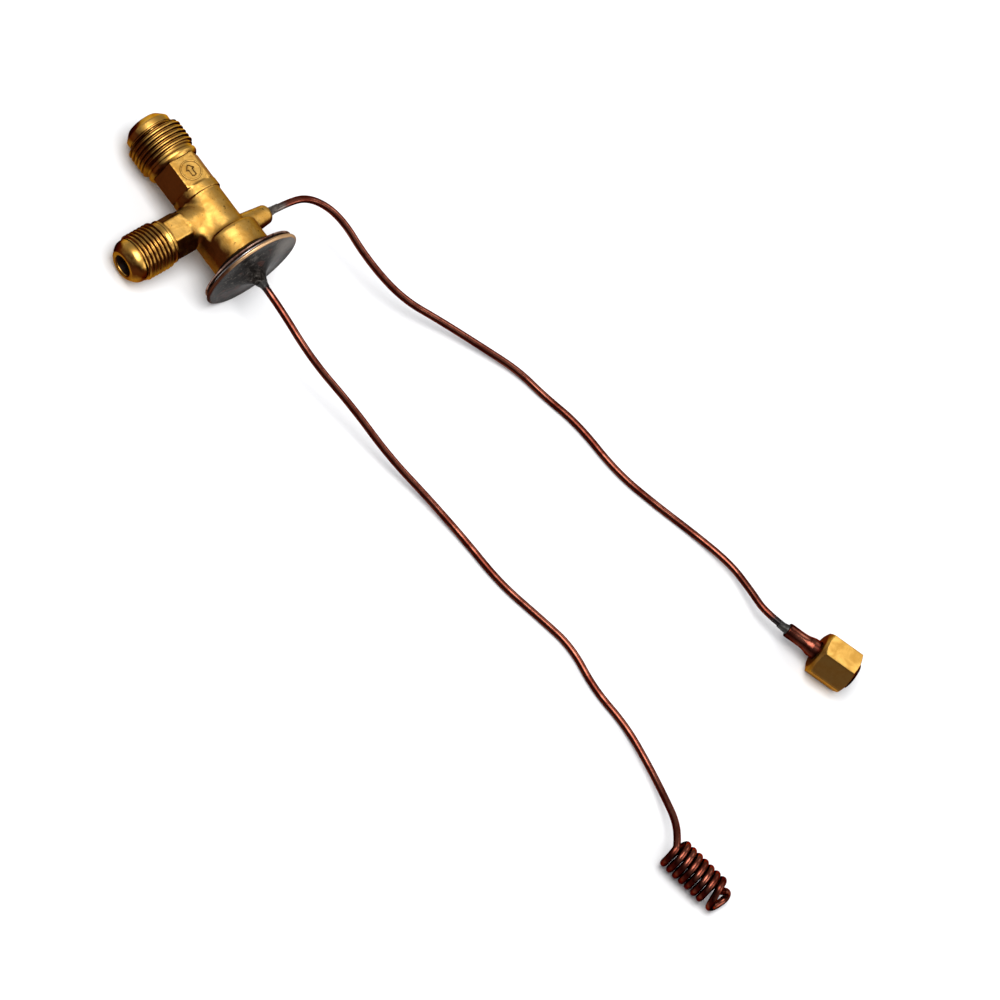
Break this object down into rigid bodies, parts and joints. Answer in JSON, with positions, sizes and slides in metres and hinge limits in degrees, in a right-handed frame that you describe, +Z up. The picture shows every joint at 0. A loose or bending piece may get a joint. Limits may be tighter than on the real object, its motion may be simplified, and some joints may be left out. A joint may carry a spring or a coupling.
{
  "type": "thermostatic expansion valve",
  "caption": "Angle expansion valve for a refrigeration circuit: flared brass body, round power head, coiled sensing bulb on a capillary, and an equaliser tube with its flare nut.",
  "frame": {"origin": "on the floor, below the centre of the valve's box, its loose tubes left out", "axes": "+X along the main axis in plan, from the outlet to the power head; -Y to the inlet; +Z up from the floor that it lies on"},
  "size_m": [0.3011, 0.1652, 0.0337],
  "materials": {
    "forged_brass": "blasted and turned brass, worn",
    "turned_brass": "bright turned brass",
    "oxidised_cover": "black heat oxide on bronze sheet",
    "copper_cover": "heat tinted copper alloy sheet",
    "copper_tube": "drawn copper with brown oxide",
    "braze": "dull braze metal",
    "steel": "ground steel",
    "gauze": "fine steel gauze",
    "seal": "black rubber"
  },
  "bodies": {
    "valve": {"valve_body": "forged_brass", "inlet_strainer": "gauze", "strainer_ring": "turned_brass", "pin_seal": "seal", "gland_washer": "turned_brass", "superheat_spring": "steel", "diaphragm": "steel", "lower_cover": "copper_cover", "upper_cover": "oxidised_cover", "head_braze": "braze", "equaliser_braze": "braze", "sensing_tube": "copper_tube", "sensing_coil": "copper_tube", "equaliser_tube": "copper_tube", "end_sleeve": "copper_tube", "sleeve_braze": "braze"},
    "throttle": {"buffer_plate": "turned_brass", "push_pin": "steel", "valve_ball": "steel", "ball_carrier": "turned_brass"},
    "adjuster": {"adjusting_screw": "turned_brass"},
    "nut": {"flare_nut": "turned_brass"}
  },
  "joints": [
    {"name": "pin_lift", "type": "slide", "parent": "valve", "child": "throttle", "axis": [-0.9901, 0, -0.1403], "range_m": [0, 0.0007], "stiffness_N_per_m": 3000, "deforming": ["superheat_spring", "diaphragm"]},
    {"name": "screw_turn", "type": "hinge", "parent": "valve", "child": "adjuster", "pos_m": [-0.01997, 0.00777, 0.01042], "axis": [0.9901, 0, 0.1403], "range_deg": [-360, 360]},
    {"name": "nut_spin", "type": "hinge", "parent": "valve", "child": "nut", "pos_m": [0.22073, 0.12769, 0.00715], "axis": [0.8829, 0.4695, 0], "continuous": true}
  ]
}
